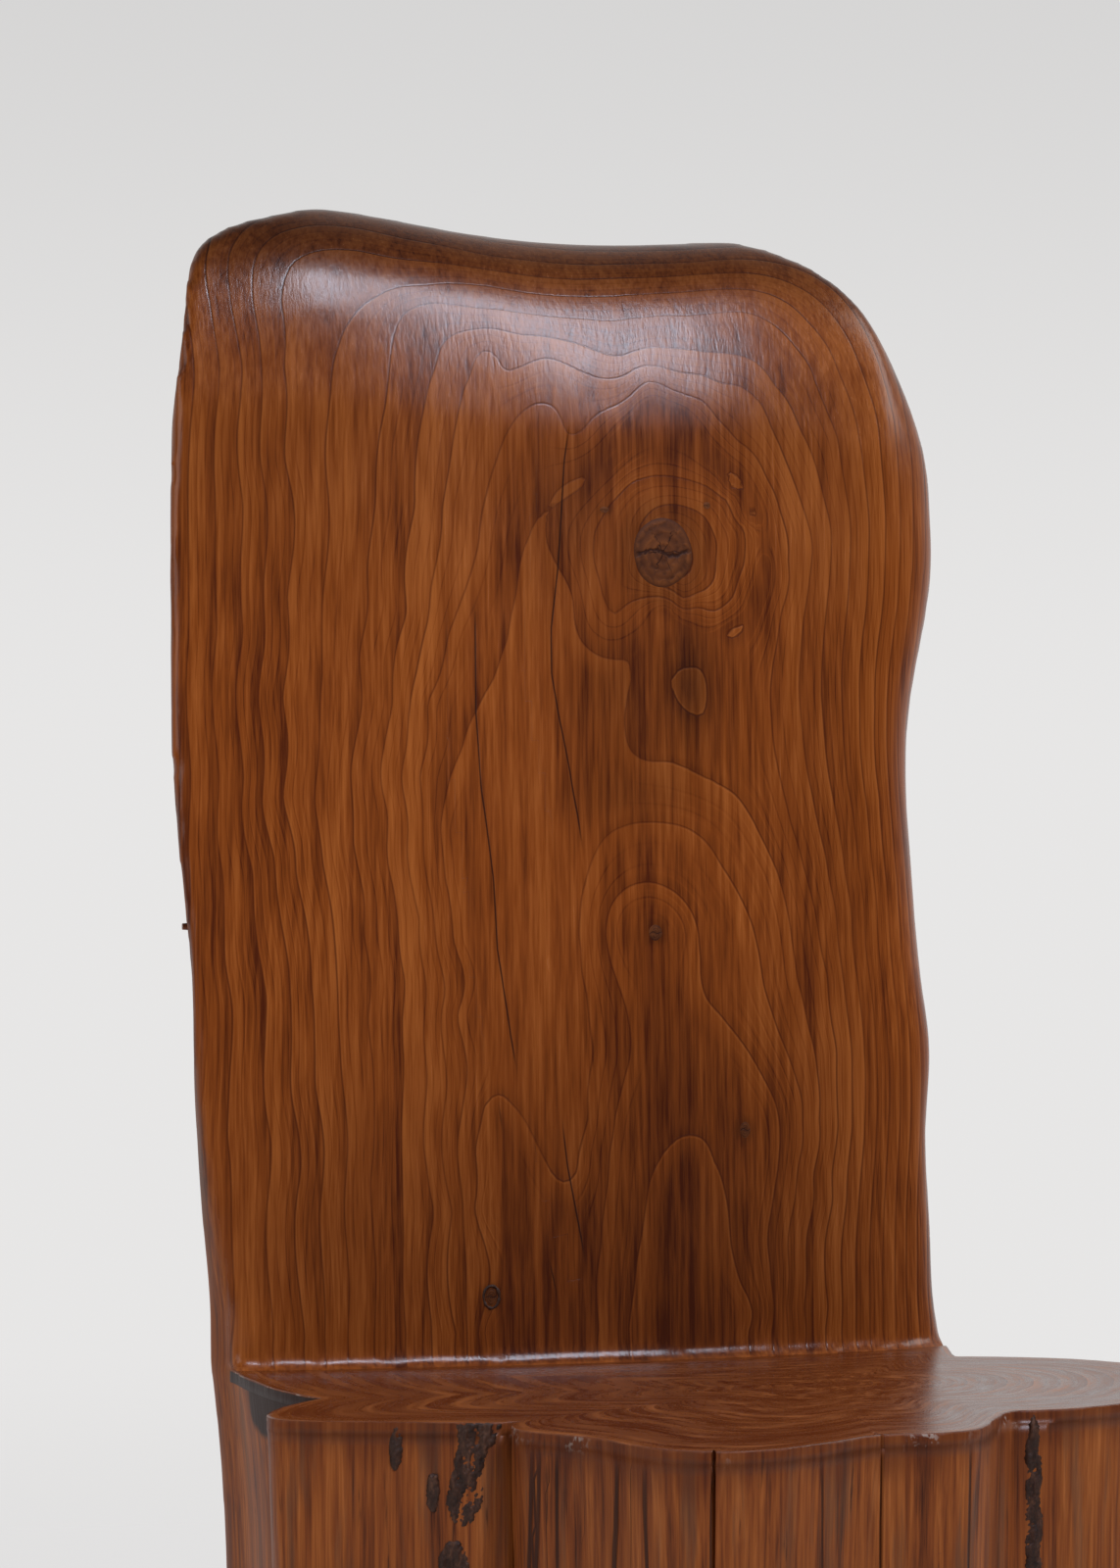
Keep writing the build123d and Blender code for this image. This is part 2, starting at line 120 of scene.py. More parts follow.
# Growth lines of the sitting face: ring number, then (x, distance up the face) in mm.
GROWTH_LINES_MM = [
    (10, [(-262, 20), (-266, 150), (-266, 260), (-270, 340), (-272, 450), (-270, 560), (-266, 640),
      (-270, 700), (-268, 750), (-255, 788), (-200, 825), (-100, 818), (0, 800), (100, 803), (175, 785),
      (210, 700)]),
    (9, [(-236, 20), (-236, 150), (-238, 240), (-246, 320), (-251, 380), (-252, 475), (-251, 560),
      (-250, 650), (-257, 700), (-256, 745), (-243, 772), (-210, 797), (-120, 792), (-40, 776), (40, 776),
      (110, 782), (165, 762), (195, 700), (208, 630), (210, 560), (206, 500), (198, 430), (199, 370),
      (204, 310), (211, 200), (211, 150), (207, 100), (205, 30)]),
    (8, [(-213, 20), (-217, 130), (-223, 200), (-224, 260), (-232, 330), (-240, 410), (-239, 500),
      (-239, 580), (-239, 650), (-243, 700), (-240, 735), (-228, 760), (-200, 776), (-140, 769),
      (-80, 757), (-10, 753), (60, 758), (115, 760), (155, 740), (180, 695), (196, 630), (199, 560),
      (196, 500), (188, 430), (190, 370), (195, 310), (202, 200), (202, 150), (198, 100), (196, 30)]),
    (7, [(-205, 20), (-206, 100), (-209, 180), (-211, 250), (-221, 320), (-230, 370), (-229, 435),
      (-225, 500), (-226, 590), (-226, 650), (-226, 700), (-218, 730), (-200, 745), (-170, 749),
      (-120, 743), (-60, 736), (0, 737), (60, 742), (110, 742), (145, 722), (168, 680), (183, 620),
      (187, 560), (184, 500), (178, 430), (181, 370), (186, 310), (193, 200), (193, 150), (189, 100),
      (187, 30)]),
    (6, [(-188, 20), (-190, 100), (-192, 200), (-195, 285), (-203, 340), (-204, 390), (-200, 450),
      (-198, 520), (-198, 600), (-194, 635), (-187, 667), (-177, 688), (-160, 704), (-130, 718),
      (-90, 722), (-40, 716), (0, 718), (40, 722), (80, 726), (110, 722), (135, 700), (155, 660),
      (168, 610), (174, 560), (172, 500), (166, 440), (170, 370), (176, 310), (184, 200), (184, 150),
      (180, 100), (178, 30)]),
    (5, [(-172, 20), (-174, 120), (-175, 225), (-178, 280), (-184, 340), (-184, 390), (-179, 460),
      (-172, 520), (-166, 565), (-158, 625), (-152, 675), (-143, 694), (-125, 703), (-95, 701), (-50, 697),
      (-20, 696), (10, 698), (33, 701), (68, 703), (92, 704), (115, 690), (135, 660), (152, 610),
      (160, 560), (158, 500), (153, 440), (156, 380), (164, 320), (168, 270), (175, 200), (175, 150),
      (171, 100), (168, 30)]),
    (4, [(-150, 20), (-153, 100), (-150, 200), (-149, 250), (-155, 310), (-158, 360), (-153, 430),
      (-146, 490), (-140, 560), (-134, 620), (-124, 655), (-114, 676), (-100, 682), (-70, 680), (-40, 677),
      (-15, 669), (3, 666), (14, 671), (32, 673), (60, 670), (82, 668), (96, 662), (108, 645), (125, 615),
      (141, 570), (146, 530), (142, 490), (138, 440), (142, 390), (150, 345), (157, 300), (161, 250),
      (166, 200), (166, 150), (161, 100), (158, 30)]),
    (3, [(-134, 20), (-136, 130), (-136, 225), (-139, 290), (-146, 350), (-147, 400), (-140, 450),
      (-130, 505), (-122, 560), (-114, 605), (-107, 636), (-99, 658), (-91, 668), (-83, 660), (-77, 650),
      (-66, 655), (-48, 662), (-25, 652), (-10, 648), (5, 652), (14, 658), (34, 656), (58, 652), (69, 646),
      (84, 644), (98, 632), (110, 605), (121, 578), (133, 535), (128, 500), (123, 460), (124, 415),
      (131, 370), (140, 330), (147, 290), (151, 250), (157, 200), (157, 150), (152, 100), (148, 30)]),
    (2, [(-117, 20), (-119, 100), (-122, 180), (-123, 240), (-130, 290), (-136, 335), (-138, 385),
      (-133, 430), (-119, 475), (-107, 505), (-98, 535), (-93, 565), (-85, 592), (-76, 613), (-67, 624),
      (-57, 629), (-47, 627), (-40, 616), (-35, 607), (-26, 612), (-14, 624), (0, 630), (8, 637),
      (20, 647), (33, 641), (45, 636), (56, 633), (65, 622), (79, 607), (92, 597), (100, 583), (110, 560),
      (115, 527), (110, 493), (103, 452), (102, 425), (107, 385), (115, 352), (124, 322), (132, 292),
      (140, 250), (146, 200), (147, 150), (142, 100), (138, 30)]),
    (1, [(-110, 20), (-112, 90), (-113, 160), (-115, 228), (-117, 275), (-122, 315), (-125, 350),
      (-120, 375), (-110, 402), (-100, 426), (-89, 446), (-79, 474), (-73, 503), (-69, 530), (-61, 550),
      (-50, 562), (-40, 565), (-28, 573), (-14, 586), (-3, 602), (5, 617), (13, 627), (25, 631), (40, 626),
      (50, 612), (61, 597), (74, 574), (86, 553), (95, 525), (90, 503), (79, 485), (70, 480)]),
    (1, [(10, 466), (5, 448), (1, 430), (0, 412), (4, 399), (14, 393), (28, 393), (38, 390), (50, 384),
      (64, 378), (76, 371), (85, 360), (95, 341), (105, 320), (111, 297), (115, 272), (118, 248),
      (126, 215), (132, 185), (133, 155), (128, 118), (123, 80), (120, 30)]),
    (1, [(30, 495), (29, 472), (30, 446), (36, 432), (47, 424), (55, 425), (56, 446), (52, 468), (42, 471),
      (37, 480)]),
    (0, [(-104, 20), (-105, 100), (-104, 140), (-99, 166), (-91, 175), (-82, 171), (-74, 163), (-64, 145),
      (-53, 124), (-44, 117), (-36, 124), (-28, 158), (-24, 200), (-28, 240), (-32, 270), (-32, 292),
      (-28, 314), (-21, 333), (-12, 345), (1, 351), (19, 353), (40, 350), (54, 341), (65, 325), (77, 306),
      (87, 284), (92, 262), (98, 233), (106, 210), (115, 187), (121, 165), (121, 140), (115, 105),
      (109, 70), (107, 30)]),
    (-1, [(-22, 20), (-20, 75), (-17, 105), (-14, 135), (-10, 160), (-4, 182), (1, 200), (0, 222),
      (-6, 244), (-12, 262), (-15, 280), (-12, 296), (-4, 307), (12, 313), (27, 310), (38, 302), (46, 289),
      (49, 272), (50, 252), (54, 236), (63, 226), (75, 212), (86, 197), (95, 181), (102, 166), (105, 148),
      (103, 122), (98, 95), (97, 60), (100, 30)]),
    (-2, [(-2, 20), (4, 65), (9, 92), (13, 115), (20, 130), (30, 142), (42, 146), (52, 142), (58, 128),
      (65, 110), (68, 92), (70, 70), (76, 48), (84, 25)]),
    (-1.7, [(19, 292), (30, 280), (19, 266), (7, 280)]),
    (2, [(-20, 545), (-21, 525), (-15, 503), (-7, 489), (2, 497), (-10, 562), (5, 577), (35, 582),
      (60, 575), (72, 568), (84, 550), (84, 525), (76, 503), (62, 492), (50, 496)]),
    (3, [(12, 533), (16, 555), (30, 563), (45, 561), (60, 548), (63, 527), (56, 507), (40, 500)]),
    (4.5, [(22, 528), (33, 535), (36, 524), (27, 541)]),
    (0.5, [(-85, 400), (-80, 350)]),
    (0.6, [(-75, 430), (-45, 500)]),
    (0.4, [(-70, 250), (-60, 300)]),
    (-0.5, [(-70, 60), (-45, 60), (-60, 20)]),
    (1.3, [(15, 430), (75, 440), (18, 460), (45, 470), (32, 478)]),
    (1.15, [(25, 625), (14, 621), (38, 620), (4, 608), (50, 604), (62, 468), (80, 470), (70, 455),
      (24, 487), (34, 482)]),
]
GROWTH_STIFFNESS = (0.0300, 0.0030)   # at the plain left side, and elsewhere
PLAIN_SIDE_MM = -150.0
GROWTH_LIMITS_MM = (-300.0, 235.0, 15.0, 840.0)   # x, then up the face; held beyond these
SPLINE_UNIT_MM = 100.0    # the spline is solved in units of this length
SPLINE_BATCH = 20000      # points worked out at once
TOP_STRETCH = 0.9         # a mm back over the top counts as this many up the face
TOP_START = 0.520         # height above the seat where that starts

# Drying checks in the sitting face: (x, height above the seat) in mm, top to bottom.
FACE_CHECKS_MM = [
    [(-101, 495), (-101, 425), (-98, 375), (-90, 315), (-88, 270), (-80, 215), (-76, 190)],
    [(-36, 615), (-40, 590), (-42, 560), (-45, 520), (-50, 480), (-50, 450), (-45, 420),
     (-38, 385), (-33, 355), (-30, 335)],
    [(-46, 160), (-42, 127), (-38, 105), (-31, 65)],
    [(-56, 70), (-50, 40)],
    [(36, 140), (36, 120)],
    [(-88, 172), (-86, 150)],
]
# Hairline checks down the front of the block: (x, height above the floor) in mm.
BLOCK_CHECKS_MM = [
    [(-138, 419), (-139, 260), (-138, 0)],
    [(-57, 419), (-58, 200), (-57, 0)],
    [(56, 419), (56, 220), (55, 0)],
    [(-135, 416), (-136, 300), (-134, 200)],
    [(-127, 416), (-126, 340), (-128, 250)],
    [(-100, 417), (-101, 260), (-99, 0)],
    [(-90, 417), (-88, 330), (-89, 280)],
    [(12, 417), (13, 330), (11, 240)],
    [(112, 417), (111, 300), (112, 120)],
]
# Painted shade at the foot of the face by the seat, partly darker stain.
LOW_SHADE_AND_STAIN = (0.03, 0.30)  # the face is darkest below this height, and plain above this one
# Dark clouds on the face: x, height above the seat, half sizes, strength. Most are darker stain; the tall
# one at the right side and the one high at the left are painted shade.
CLOUDS = [(0.025, 0.42, 0.060, 0.090, 0.20), (-0.035, 0.555, 0.030, 0.050, 0.22),
          (0.045, 0.20, 0.080, 0.070, 0.10), (0.150, 0.38, 0.050, 0.200, 0.16),
          (-0.200, 0.09, 0.060, 0.080, 0.10), (0.090, 0.63, 0.070, 0.040, 0.14),
          (0.045, 0.445, 0.015, 0.036, 0.48), (-0.220, 0.72, 0.070, 0.045, 0.34),
          (-0.010, 0.44, 0.030, 0.045, 0.16), (0.000, 0.37, 0.045, 0.018, 0.16)]


# ================================================================ mesh helpers
def smoothstep(low, high, value):
    share = np.clip((value - low) / (high - low), 0.0, 1.0)
    return share * share * (3.0 - 2.0 * share)


def waves(points, wavelength, seed, stretch=(1.0, 1.0, 1.0), count=9):
    """Smooth pseudo-noise of about unit size: a sum of sine waves in fixed directions."""
    random = np.random.default_rng(seed)
    directions = random.normal(size=(count, 3))
    directions /= np.linalg.norm(directions, axis=1)[:, None]
    lengths = wavelength * random.uniform(0.7, 1.5, count)
    phases = random.uniform(0.0, 2.0 * math.pi, count)
    along = (points / np.array(stretch)) @ directions.T
    return np.sin(along * (2.0 * math.pi / lengths) + phases).sum(1) / math.sqrt(count)


def joined(names):
    """One mesh of several CAD nodes."""
    work = bmesh.new()
    for name in names:
        work.from_mesh(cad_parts[name].data)
    mesh = bpy.data.meshes.new("joined")
    work.to_mesh(mesh)
    work.free()
    return mesh


def remeshed(mesh, voxel):
    """Even quads over a closed mesh."""
    holder = bpy.data.objects.new("holder", mesh)
    bpy.context.scene.collection.objects.link(holder)
    modifier = holder.modifiers.new("voxels", "REMESH")
    modifier.mode = "VOXEL"
    modifier.voxel_size = voxel
    graph = bpy.context.evaluated_depsgraph_get()
    result = bpy.data.meshes.new_from_object(holder.evaluated_get(graph))
    bpy.data.objects.remove(holder)
    bpy.data.meshes.remove(mesh)
    return result


def tree_of(mesh):
    work = bmesh.new()
    work.from_mesh(mesh)
    tree = BVHTree.FromBMesh(work)
    work.free()
    return tree


def column(items, key, width, kind=np.float32):
    """One property of every vertex or edge, as rows of numbers."""
    flat = np.empty(len(items) * width, kind)
    items.foreach_get(key, flat)
    return flat.reshape(-1, width)


def points_of(mesh):
    return column(mesh.vertices, "co", 3).astype(float)


def normals_of(mesh):
    return column(mesh.vertex_normals, "vector", 3).astype(float)


def edges_of(mesh):
    return column(mesh.edges, "vertices", 2, np.int32)


def set_points(mesh, points):
    mesh.vertices.foreach_set("co", points.astype(np.float32).ravel())
    mesh.update()


def give(mesh, **attributes):
    """Numbers for each vertex, which the material reads by name."""
    for name, values in attributes.items():
        layer = mesh.attributes.new(name, "FLOAT", "POINT")
        layer.data.foreach_set("value", np.asarray(values, np.float32))


def neighbour_mean(points, edges):
    a, b = edges.T
    count = len(points)
    degree = np.bincount(a, minlength=count) + np.bincount(b, minlength=count)
    mean = np.empty_like(points)
    for axis in range(3):
        mean[:, axis] = np.bincount(a, points[b, axis], count)
        mean[:, axis] += np.bincount(b, points[a, axis], count)
    return mean / degree[:, None]


def smoothed(points, edges, passes, weight):
    """Taubin smoothing, which takes out ripples and keeps the size."""
    shrink, swell = 0.50, -0.52
    for _ in range(passes):
        points = points + shrink * weight[:, None] * (neighbour_mean(points, edges) - points)
        points = points + swell * weight[:, None] * (neighbour_mean(points, edges) - points)
    return points


def sharp_edges(mesh, angle):
    """Ends of the edges where two CAD faces meet at more than an angle."""
    work = bmesh.new()
    work.from_mesh(mesh)
    bmesh.ops.remove_doubles(work, verts=work.verts, dist=1e-6)
    ends = [(e.verts[0].co.copy(), e.verts[1].co.copy()) for e in work.edges
            if len(e.link_faces) == 2 and e.calc_face_angle(0.0) > angle]
    work.free()
    return np.array(ends)


def strip_faces(rows, count, closed=False):
    """Quads between neighbouring loops of points. Closed joins the last loop to the first."""
    faces = []
    for row in range(rows if closed else rows - 1):
        low, high = row * count, (row + 1) % rows * count
        for k in range(count):
            n = (k + 1) % count
            faces.append((low + k, low + n, high + n, high + k))
    return faces


def fan_faces(start, count, tip, flip=False):
    """Triangles from a closed row of points to one tip."""
    pairs = [(start + k, start + (k + 1) % count) for k in range(count)]
    return [(b, a, tip) if flip else (a, b, tip) for a, b in pairs]


def mesh_of(name, points, faces):
    mesh = bpy.data.meshes.new(name)
    mesh.from_pydata(points, [], faces)
    mesh.update()
    return mesh


def face_point(tree, x, z):
    """First point that a ray straight back from in front of the chair meets."""
    return tree.ray_cast(Vector((x, -1.0, z)), Vector((0, 1, 0)))[0]


def add_piece(name, mesh, nodes, material):
    """An object that rides on the chair and stands for some CAD nodes."""
    mesh.materials.clear()
    mesh.materials.append(material)
    mesh.polygons.foreach_set("use_smooth", [True] * len(mesh.polygons))
    piece = bpy.data.objects.new(name, mesh)
    bpy.context.scene.collection.objects.link(piece)
    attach(piece, "root")
    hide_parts(*nodes)
    return piece


# ================================================================ growth rings of the face
def fit_face(tree):
    """Lean and bow of the flat part of the sitting face, fitted to the CAD surface."""
    rows, depths = [], []
    for above in np.linspace(0.08, 0.50, 8):
        for x in np.linspace(-0.22, 0.14, 10):
            rows.append((1.0, above, x, x * x))
            depths.append(face_point(tree, x, SEAT_Z + above).y)
    return np.linalg.lstsq(np.array(rows), np.array(depths), rcond=None)[0]


def face_depth(fit, x, above):
    return fit[0] + fit[1] * above + fit[2] * x + fit[3] * x * x


def growth_weights():
    """Thin-plate spline through the growth lines."""
    spots = np.array([p for _, line in GROWTH_LINES_MM for p in line], float)
    spots /= SPLINE_UNIT_MM
    rings = np.array([ring for ring, line in GROWTH_LINES_MM for _ in line], float)
    count = len(spots)
    reach = np.linalg.norm(spots[:, None] - spots[None], axis=2)
    plane = np.c_[np.ones(count), spots]
    system = np.zeros((count + 3, count + 3))
    stiffness = np.where(spots[:, 0] < PLAIN_SIDE_MM / SPLINE_UNIT_MM, *GROWTH_STIFFNESS)
    system[:count, :count] = reach**2 * np.log(reach + 1e-9) + np.diag(stiffness)
    system[:count, count:] = plane
    system[count:, :count] = plane.T
    return spots, np.linalg.solve(system, np.r_[rings, 0.0, 0.0, 0.0])


def ring_numbers(places, spots, weights):
    """Ring number at (x, distance up the face) in mm."""
    rings = np.empty(len(places))
    for start in range(0, len(places), SPLINE_BATCH):
        batch = slice(start, start + SPLINE_BATCH)
        part = places[batch] / SPLINE_UNIT_MM
        reach = np.linalg.norm(part[:, None] - spots[None], axis=2)
        rings[batch] = (reach**2 * np.log(reach + 1e-9)) @ weights[:-3]
        rings[batch] += weights[-3] + part @ weights[-2:]
    return rings


def rings_of_back(points, fit):
    """Ring number and rings per metre for points of the back."""
    above = points[:, 2] - SEAT_Z
    behind = points[:, 1] - face_depth(fit, points[:, 0], above) - 2 * MM
    climb = above + np.where(above > TOP_START, TOP_STRETCH * np.maximum(0.0, behind), 0.0)
    places = np.c_[points[:, 0], climb] * 1000.0
    low_x, high_x, low_s, high_s = GROWTH_LIMITS_MM
    places[:, 0] = np.clip(places[:, 0], low_x, high_x)
    places[:, 1] = np.clip(places[:, 1], low_s, high_s)
    spots, weights = growth_weights()
    rings = ring_numbers(places, spots, weights)
    step = 0.5
    across = ring_numbers(places + (step, 0.0), spots, weights) - rings
    upward = ring_numbers(places + (0.0, step), spots, weights) - rings
    return rings, np.hypot(across, upward) / (step * MM)


def check_offsets(points, checks, base):
    """Sideways distance in mm from the nearest drying check, and how open it is."""
    x, above = points[:, 0] * 1000.0, (points[:, 2] - base) * 1000.0
    offset = np.full(len(points), 50.0)
    openness = np.zeros(len(points))
    for check in checks:
        spine = np.array(check[::-1], float)
        away = x - np.interp(above, spine[:, 1], spine[:, 0])
        inside = np.minimum(above - spine[0, 1], spine[-1, 1] - above)
        nearer = (np.abs(away) < np.abs(offset)) & (inside > -12.0) & (np.abs(away) < 20.0)
        offset[nearer] = away[nearer]
        openness[nearer] = smoothstep(-2.0, 18.0, inside)[nearer]
    return offset, openness


# ================================================================ pieces
def arris_edges():
    """Ends of the CAD edges along the sharp left side of the sitting face."""
    ends = sharp_edges(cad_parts["rear_stem"].data, ARRIS_ANGLE)
    middle = ends.mean(1)
    rise = np.abs(ends[:, 0, 2] - ends[:, 1, 2])
    spread = np.linalg.norm(ends[:, 0, :2] - ends[:, 1, :2], axis=1)
    keep = (rise > spread * 3.0) & (middle[:, 0] < -0.2) & (middle[:, 2] > SEAT_Z + 0.03)
    return ends[keep]


def plugs_of(node, fit):
    """Middle and half sizes, in x and z, of each plug of a node where it meets the face."""
    points = points_of(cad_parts[node].data)
    depth = face_depth(fit, points[:, 0], points[:, 2] - SEAT_Z)
    front = points[np.abs(points[:, 1] - depth) < 1.0 * MM][:, [0, 2]]
    front = front[np.argsort(front[:, 0])]
    breaks = np.flatnonzero(np.diff(front[:, 0]) > 20 * MM) + 1
    plugs = []
    for part in np.split(front, breaks):
        low, high = part.min(0), part.max(0)
        plugs.append(((low + high) / 2, (high - low) / 2))
    return plugs


def stain_of(points, normals, above, fit):
    """Share of the colour kept: painted shade on upward-facing parts of the crest (partly the darker stain
    of end grain), painted shade towards the top and at the foot by the seat (the foot partly darker
    stain), darker stain round the knots, and clouds.
    """
    # Painted shade on upward-facing parts high on the back, partly the darker stain that end grain takes.
    upward = smoothstep(0.20, 0.75, normals[:, 2]) * smoothstep(0.5, 0.6, above)
    foot = 1 - smoothstep(*LOW_SHADE_AND_STAIN, above)
    middle = np.exp(-(((points[:, 0] - 0.03) / 0.15) ** 2))
    # Painted shade: upward-facing parts darker, and the whole face darker towards the top.
    stain = (1 - 0.66 * upward) * (1 - 0.24 * smoothstep(0.40, 0.66, above))
    # Painted shade at the foot by the seat, partly darker stain, deepest in the middle.
    stain *= 1 - foot * (0.12 + 0.22 * middle)
    # Clouds: darker stain, and painted shade in the tall right one and the high left one.
    for x, height, wide, tall, strength in CLOUDS:
        away = ((points[:, 0] - x) / wide) ** 2 + ((above - height) / tall) ** 2
        stain *= 1 - strength * np.exp(-away)
    for node in FACE_KNOTS:
        for middle, half in plugs_of(node, fit):
            away = np.linalg.norm((points[:, [0, 2]] - middle) / half, axis=1)
            stain *= 1 - 0.30 * (1 - smoothstep(1.0, 1.9, away))
    return stain


def cove_foot(tree, x):
    """Depth at which the cove rises out of the seat."""
    hit = face_point(tree, min(max(x, -0.25), 0.19), SEAT_Z + 1.5 * MM)
    return hit.y if hit else 0.12


def smoothing_weight(points, arris):
    """Nought at the arris and at the seat's sharp edge, which stay sharp, and one away from them."""
    rim = sharp_edges(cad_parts["rear_stem"].data, RIM_ANGLE)
    rim = rim[np.abs(rim[:, :, 2] - SEAT_Z).max(1) < 2 * MM]
    near = KDTree(4 * (len(arris) + len(rim)))
    for number, (a, b) in enumerate([*arris, *rim]):
        for share in (0.0, 0.33, 0.67, 1.0):
            near.insert(a + (b - a) * share, number)
    near.balance()
    distance = np.array([near.find(p)[2] for p in points])
    return smoothstep(*SHARP_REACH, distance)


def carved_share(points, normals, above, arris):
    """One on the carved face and the crest, nothing on the trunk's own skin."""
    middle = arris.mean(1)
    order = np.argsort(middle[:, 2])
    edge_x = np.interp(points[:, 2], middle[order, 2], middle[order, 0])
    outside = smoothstep(0.0, 1.5 * MM, edge_x - points[:, 0]) * (1 - smoothstep(0.14, 0.26, above))
    facing = np.maximum(smoothstep(0.05, 0.30, -normals[:, 1]), smoothstep(0.3, 0.6, normals[:, 2]))
    return facing * (1 - outside) * smoothstep(0.0, 2 * MM, above)


def make_back(material):
    """The rear stem from the floor to the crest, as one smooth carved surface."""
    fit = fit_face(tree_of(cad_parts["rear_stem"].data))
    mesh = remeshed(joined(STEM_NODES), STEM_VOXEL)
    points, edges = points_of(mesh), edges_of(mesh)
    arris = arris_edges()
    points = smoothed(points, edges, STEM_SMOOTHING, smoothing_weight(points, arris))
    set_points(mesh, points)

    # Slow waves over the face, as a hand tool leaves, and the ledge sunk under the seat's top.
    normals = normals_of(mesh)
    above = points[:, 2] - SEAT_Z
    front = smoothstep(0.3, 0.8, -normals[:, 1]) * smoothstep(0.03, 0.10, above)
    points += normals * (0.35 * MM * front * waves(points, 0.11, 3, (1, 1, 1.8)))[:, None]
    ledge = (np.abs(above) < 1.2 * MM) & (normals[:, 2] > 0.8)
    points[ledge, 2] -= 1.0 * MM
    points[:, 2] = np.maximum(points[:, 2], 0.0)
    set_points(mesh, points)

    rings, pace = rings_of_back(points, fit)
    offset, openness = check_offsets(points, FACE_CHECKS_MM, SEAT_Z)
    notch = smoothstep(-0.20, -0.215, points[:, 0]) * (1 - smoothstep(0.045, 0.095, points[:, 1]))
    # stain is the share of colour kept, holding darker stain and painted shade.
    give(mesh, rings=rings, pace=pace, carved=carved_share(points, normals, above, arris),
         check=offset, check_open=openness, stain=stain_of(points, normals, above, fit),
         barky=notch * smoothstep(-0.045, -0.018, above) * (above < 1.5 * MM))
    return add_piece("back", mesh, STEM_NODES[:1], material), fit


def radii(tree, angles, z):
    """Distance from the block's axis to its outside, seen from outside, at one height."""
    out = []
    for angle in angles:
        way = Vector((math.cos(angle), math.sin(angle), 0.0))
        start = Vector((*BLOCK_AXIS, z)) + way
        hit = tree.ray_cast(start, -way, 1.0)[0]
        out.append((hit - Vector((*BLOCK_AXIS, z))).length if hit else 0.2)
    return np.array(out)


def block_angles(corners):
    """Even columns, with closer ones at the corners and cracks of the outline."""
    angles = set(np.linspace(-math.pi, math.pi, BLOCK_COLUMNS, endpoint=False))
    for x, y in corners:
        middle = math.atan2(y - BLOCK_AXIS[1], x - BLOCK_AXIS[0])
        reach = math.hypot(y - BLOCK_AXIS[1], x - BLOCK_AXIS[0])
        for step in CORNER_STEPS_MM:
            angles.add(middle + step * MM / reach)
    ordered = np.sort(np.array(list(angles)))
    return ordered[np.r_[True, np.diff(ordered) > LEAST_GAP]]


def block_corners():
    """Upright creases that reach the top of the seat block, as (x, y)."""
    ends = sharp_edges(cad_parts["seat_block"].data, CORNER_ANGLE)
    top = ends[(np.abs(ends[:, :, 2].max(1) - SEAT_Z) < 0.001)
               & (np.abs(ends[:, 0, 2] - ends[:, 1, 2]) > 0.03)]
    return sorted({(round(float(x), 4), round(float(y), 4)) for x, y in top.mean(1)[:, :2]})


def seat_reach(angles, way):
    """Reach of the sawn top from the block's axis: the trunk's outline, cut off at the cove."""
    both = tree_of(joined((*BLOCK_NODES, "rear_stem")))
    stem = tree_of(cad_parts["rear_stem"].data)
    cap = radii(both, angles, SEAT_Z - 1.5 * MM)
    for k in np.flatnonzero(way[:, 1] > 0.2):
        reach = cap[k]
        for _ in range(4):
            x = BLOCK_AXIS[0] + way[k, 0] * reach
            reach = min(cap[k], (cove_foot(stem, x) + COVE_OVERLAP - BLOCK_AXIS[1]) / way[k, 1])
        cap[k] = reach
    return cap


def seat_row(way, reach, z):
    return np.c_[np.array(BLOCK_AXIS) + way * reach[:, None], np.full(len(way), z)]


def seat_rows(angles, way, cap):
    """Closed rows of points up the walls, over the chipped rim and in across the sawn top."""
    block = tree_of(joined(BLOCK_NODES))
    flat = np.c_[way, np.zeros(len(way))]
    chips = waves(flat, 0.035, 8) * 0.25 + waves(flat, 0.11, 9) * 0.3
    walls = []
    for z in np.linspace(0.0, SEAT_Z - FLANGE, BLOCK_ROWS):
        walls.append(seat_row(way, radii(block, angles, min(max(z, 1e-4), SEAT_Z - 1e-4)), z))
    rim = [seat_row(way, cap - (inset + share * chips) * MM, SEAT_Z - drop)
           for drop, inset, share in RIM_ROWS]
    top = [seat_row(way, (cap - RIM_ROWS[-1][1] * MM) * share, SEAT_Z) for share in TOP_SHARES]
    return walls, rim, top


def give_seat_rings(mesh, points, rim):
    """Rings of the end grain, which follow the rim, and the direction from the pith."""
    offset, rim = points[:, :2] - np.array(RING_PITH), rim[:, :2] - np.array(RING_PITH)
    around = np.arctan2(offset[:, 1], offset[:, 0])
    rim_angle = np.arctan2(rim[:, 1], rim[:, 0])
    order = np.argsort(rim_angle)
    reach = np.interp(around, rim_angle[order], np.hypot(*rim.T)[order], period=2 * math.pi)
    give(mesh, turn_x=np.cos(around), turn_y=np.sin(around), pace=RING_COUNT / reach,
         rings=np.hypot(*offset.T) / reach * RING_COUNT)


